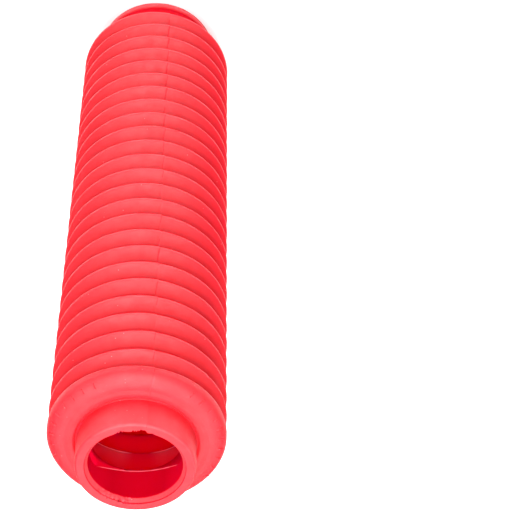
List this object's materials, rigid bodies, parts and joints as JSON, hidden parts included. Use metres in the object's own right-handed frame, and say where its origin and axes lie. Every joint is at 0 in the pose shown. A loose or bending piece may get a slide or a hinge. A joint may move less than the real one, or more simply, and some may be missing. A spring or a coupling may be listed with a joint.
{
  "type": "fork gaiter",
  "caption": "Round rubber bellows that covers a motorcycle fork tube, with a wide cuff for the slider, a narrow cuff for the tube and folds in between.",
  "frame": {"origin": "centre of the large cuff's end face, which the gaiter stands on", "axes": "+Z along the gaiter's axis, from the large cuff towards the small cuff; round about Z, so X and Y are free"},
  "size_m": [0.077, 0.077, 0.3215],
  "materials": {
    "red_rubber": "matte to satin moulded rubber, plain red all through"
  },
  "bodies": {
    "root": {"gaiter": "red_rubber"}
  },
  "joints": []
}
